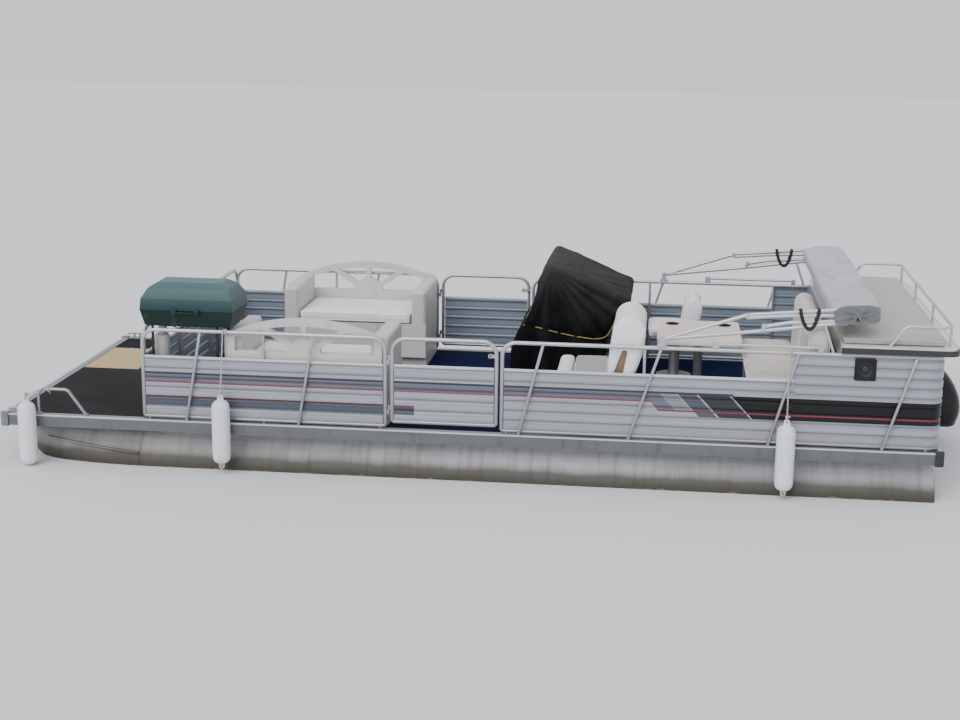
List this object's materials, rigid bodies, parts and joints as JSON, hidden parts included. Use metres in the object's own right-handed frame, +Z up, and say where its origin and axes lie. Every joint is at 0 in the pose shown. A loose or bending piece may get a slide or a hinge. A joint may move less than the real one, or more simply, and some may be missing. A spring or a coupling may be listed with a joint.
{
  "type": "pontoon boat",
  "caption": "Pontoon boat on two round aluminium floats with ribbed fence panels, gates, lounge seats, table, folded canopy, grill, fenders and an outboard motor.",
  "frame": {"origin": "on the centre line at the middle of the deck's length, at the waterline", "axes": "+X aft, +Y to starboard, +Z up; the port side faces -Y and the bow is at -X"},
  "size_m": [6.4001, 2.5681, 1.837],
  "materials": {
    "aluminium": "bare rolled aluminium, weathered",
    "panel_paint": "ribbed bare aluminium sheet with painted stripes",
    "trim": "extruded aluminium deck edging, dull",
    "tube": "welded square-section look aluminium tube, anodised",
    "plywood": "treated plywood deck with glued marine carpet",
    "carpet": "dark marine carpet",
    "rubber_black": "black rubber",
    "vinyl_fender": "blown white vinyl",
    "moulded": "moulded off-white plastic",
    "vinyl_beige": "beige upholstery vinyl over foam",
    "vinyl_white": "white upholstery vinyl over foam",
    "cover_cloth": "charcoal coated cloth",
    "boot_cloth": "grey canopy cloth",
    "table_laminate": "laminate top with a white edge",
    "grill_paint": "green baked enamel",
    "dark_steel": "black painted steel",
    "bottle_paint": "green painted steel",
    "motor_paint": "black baked enamel on cast aluminium",
    "cowl": "black moulded cowl",
    "rope": "laid polyester rope",
    "speaker": "black speaker moulding",
    "steel": "stainless steel"
  },
  "bodies": {
    "hull": {"float_port": "aluminium", "float_starboard": "aluminium", "cross_members": "aluminium", "deck_board": "plywood", "deck_trim": "trim", "corner_bumpers": "rubber_black", "bow_mat": "carpet", "bow_hoops": "tube", "cleats": "steel", "fence_frame_sides": "tube", "fence_panels_sides": "panel_paint", "fence_frame_ends": "tube", "fence_panels_ends": "panel_paint", "speaker": "speaker", "couch_bases": "moulded", "couch_backs": "moulded", "couch_cushions": "vinyl_beige", "console": "moulded", "console_cover": "cover_cloth", "pedestals": "aluminium", "lounge_base": "moulded", "lounge_cushions": "vinyl_white", "table_top": "table_laminate", "aft_base": "moulded", "aft_cushions": "vinyl_beige", "sundeck_base": "moulded", "sundeck_slab": "moulded", "sundeck_rub_strip": "rubber_black", "sundeck_pad": "vinyl_beige", "sundeck_rails": "tube", "canopy_mounts": "steel", "grill_body": "grill_paint", "grill_stand": "dark_steel", "gas_bottle": "bottle_paint", "motor_pod": "aluminium", "motor_clamp": "motor_paint", "fenders": "vinyl_fender", "rope_bow": "rope", "rope_middle": "rope", "rope_aft": "rope"},
    "port_gate": {"gate_port": "tube", "gate_port_panel": "panel_paint"},
    "starboard_gate": {"gate_starboard": "tube", "gate_starboard_panel": "panel_paint"},
    "bow_gate": {"gate_bow": "tube", "gate_bow_panel": "panel_paint"},
    "canopy": {"canopy_bows": "tube", "canopy_boot": "boot_cloth"},
    "lid": {"grill_lid": "grill_paint"},
    "helm": {"helm_seat": "vinyl_white"},
    "tilt": {"motor_swivel": "motor_paint"},
    "outboard": {"motor_leg": "motor_paint", "motor_cowl": "cowl"},
    "screw": {"propeller": "motor_paint"}
  },
  "joints": [
    {"name": "port_gate_hinge", "type": "hinge", "parent": "hull", "child": "port_gate", "pos_m": [-0.45, -1.1743, 0.7], "axis": [0, 0, 1], "range_deg": [0, 90]},
    {"name": "starboard_gate_hinge", "type": "hinge", "parent": "hull", "child": "starboard_gate", "pos_m": [-0.45, 1.1743, 0.7], "axis": [0, 0, 1], "range_deg": [0, 90]},
    {"name": "bow_gate_hinge", "type": "hinge", "parent": "hull", "child": "bow_gate", "pos_m": [-2.0783, 0.36, 0.7], "axis": [0, 0, 1], "range_deg": [0, 90]},
    {"name": "canopy_pivot", "type": "hinge", "parent": "hull", "child": "canopy", "pos_m": [1.287, 0, 0.985], "axis": [0, -1, 0], "range_deg": [0, 100]},
    {"name": "grill_lid_hinge", "type": "hinge", "parent": "hull", "child": "lid", "pos_m": [-1.776, -1.205, 1.048], "axis": [1, 0, 0], "range_deg": [0, 95]},
    {"name": "helm_swivel", "type": "hinge", "parent": "hull", "child": "helm", "pos_m": [1.382, 0.62, 0.6], "axis": [0, 0, 1], "continuous": true},
    {"name": "motor_tilt", "type": "hinge", "parent": "hull", "child": "tilt", "pos_m": [2.832, 0, 0.18], "axis": [0, -1, 0], "range_deg": [0, 60]},
    {"name": "motor_steering", "type": "hinge", "parent": "tilt", "child": "outboard", "pos_m": [2.952, 0, 0.05], "axis": [0, 0, 1], "range_deg": [-30, 30]},
    {"name": "propeller_shaft", "type": "hinge", "parent": "outboard", "child": "screw", "pos_m": [3.2, 0, -0.41], "axis": [1, 0, 0], "continuous": true}
  ]
}
